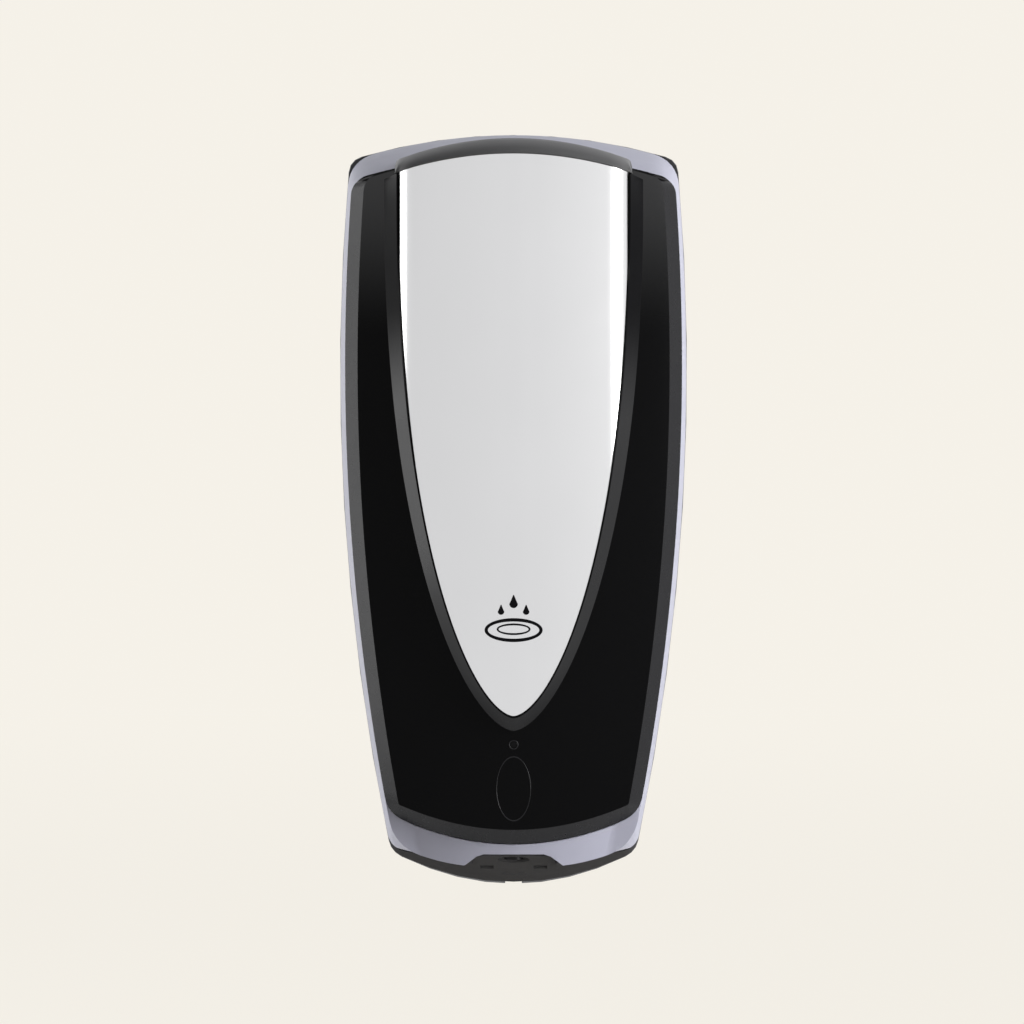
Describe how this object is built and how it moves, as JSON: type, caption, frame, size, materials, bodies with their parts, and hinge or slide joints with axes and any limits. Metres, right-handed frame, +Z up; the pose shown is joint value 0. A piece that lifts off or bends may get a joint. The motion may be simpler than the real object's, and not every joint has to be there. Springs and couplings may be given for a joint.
{
  "type": "seat sanitiser dispenser",
  "caption": "Wall-mounted touch-free seat sanitiser dispenser: a hinged cover over a refill bottle, a pump and its motor drive, closed by a key-lifted latch in the base.",
  "frame": {"origin": "middle of the chassis's rear face, halfway up the body, in the plane of the wall", "axes": "+Z up, +Y into the wall, +X to the right as seen from the front"},
  "size_m": [0.1296, 0.096, 0.2796],
  "materials": {
    "silver_plastic": "moulded, fine satin, lightly metallic",
    "gloss_black": "polished moulding",
    "bright_steel": "polished along its height",
    "grey_plastic": "fine moulded grain",
    "cap_plastic": "satin",
    "black_plastic": "fine moulded grain",
    "white_plastic": "fine moulded grain",
    "white_resin": "smooth, as moulded",
    "clear_resin": "translucent, smooth",
    "smoked_resin": "polished",
    "lamp_resin": "polished",
    "green_board": "solder mask",
    "cell_case": "printed wrap",
    "zinc_steel": "zinc plated",
    "spring_steel": "drawn wire and ground rod",
    "eye_resin": "infrared-clear, polished"
  },
  "bodies": {
    "chassis": {"back_plate": "black_plastic", "hinge_pin_left": "zinc_steel", "hinge_pin_right": "zinc_steel", "base_shroud": "grey_plastic", "refill_shelf": "white_plastic", "refill_bottle": "clear_resin", "bottle_closure": "white_resin", "pump_body": "white_resin", "pump_spring": "spring_steel", "battery_tray": "black_plastic", "battery_contact_lower": "zinc_steel", "battery_contact_upper": "zinc_steel", "battery_lid": "black_plastic", "battery_cell_1": "cell_case", "battery_cell_2": "cell_case", "battery_cell_3": "cell_case", "battery_cell_4": "cell_case", "drive_housing_rear": "white_plastic", "drive_housing_front": "white_plastic", "drive_motor": "zinc_steel", "output_axle": "spring_steel", "compound_axle": "spring_steel", "drive_screw_1": "zinc_steel", "drive_screw_2": "zinc_steel", "drive_screw_3": "zinc_steel", "control_board": "green_board", "sensor_board": "green_board", "sensor_emitter": "eye_resin", "sensor_receiver": "eye_resin", "shelf_screw_1": "zinc_steel", "shelf_screw_2": "zinc_steel", "base_screw_1": "zinc_steel", "base_screw_2": "zinc_steel", "board_screw_1": "zinc_steel", "board_screw_2": "zinc_steel", "latch_post_left": "zinc_steel", "latch_spring_left": "spring_steel", "latch_post_right": "zinc_steel", "latch_spring_right": "spring_steel"},
    "output_wheel": {"output_gear": "white_resin"},
    "compound_wheel": {"compound_gear": "white_resin"},
    "motor_wheel": {"motor_pinion": "white_resin"},
    "carriage": {"pump_carriage": "black_plastic", "pump_nozzle": "black_plastic"},
    "latch": {"latch_bar": "black_plastic"},
    "cover": {"cover_shell": "silver_plastic", "front_fascia": "gloss_black", "chrome_panel": "bright_steel", "top_cap": "cap_plastic", "level_window": "smoked_resin", "indicator_lens": "lamp_resin", "indicator_board": "green_board", "fascia_screw_1": "zinc_steel", "fascia_screw_2": "zinc_steel", "fascia_screw_3": "zinc_steel", "fascia_screw_4": "zinc_steel"}
  },
  "joints": [
    {"name": "cover_hinge", "type": "hinge", "parent": "chassis", "child": "cover", "pos_m": [0, -0.021, 0.1295], "axis": [-1, 0, 0], "range_deg": [0, 100]},
    {"name": "latch_lift", "type": "slide", "parent": "chassis", "child": "latch", "axis": [0, 0, 1], "range_m": [0, 0.004], "stiffness_N_per_m": 150, "springref_m": -0.006, "deforming": ["latch_spring_left", "latch_spring_right"]},
    {"name": "carriage_slide", "type": "slide", "parent": "chassis", "child": "carriage", "axis": [0, 0, 1], "range_m": [0, 0.008], "stiffness_N_per_m": 200, "springref_m": -0.008, "deforming": ["pump_spring"]},
    {"name": "output_spin", "type": "hinge", "parent": "chassis", "child": "output_wheel", "pos_m": [0.002, 0, -0.092], "axis": [0, -1, 0], "range_deg": [-2, 79]},
    {"name": "compound_spin", "type": "hinge", "parent": "chassis", "child": "compound_wheel", "pos_m": [-0.01463, 0, -0.0824], "axis": [0, -1, 0], "range_deg": [-233, 4]},
    {"name": "motor_spin", "type": "hinge", "parent": "chassis", "child": "motor_wheel", "pos_m": [-0.01143, 0, -0.06428], "axis": [0, -1, 0], "range_deg": [-10, 836]}
  ],
  "couplings": [
    {"joint": "output_spin", "follows": "carriage_slide", "rad_per_m": 166.67},
    {"joint": "compound_spin", "follows": "carriage_slide", "rad_per_m": -500},
    {"joint": "motor_spin", "follows": "carriage_slide", "rad_per_m": 1800}
  ]
}
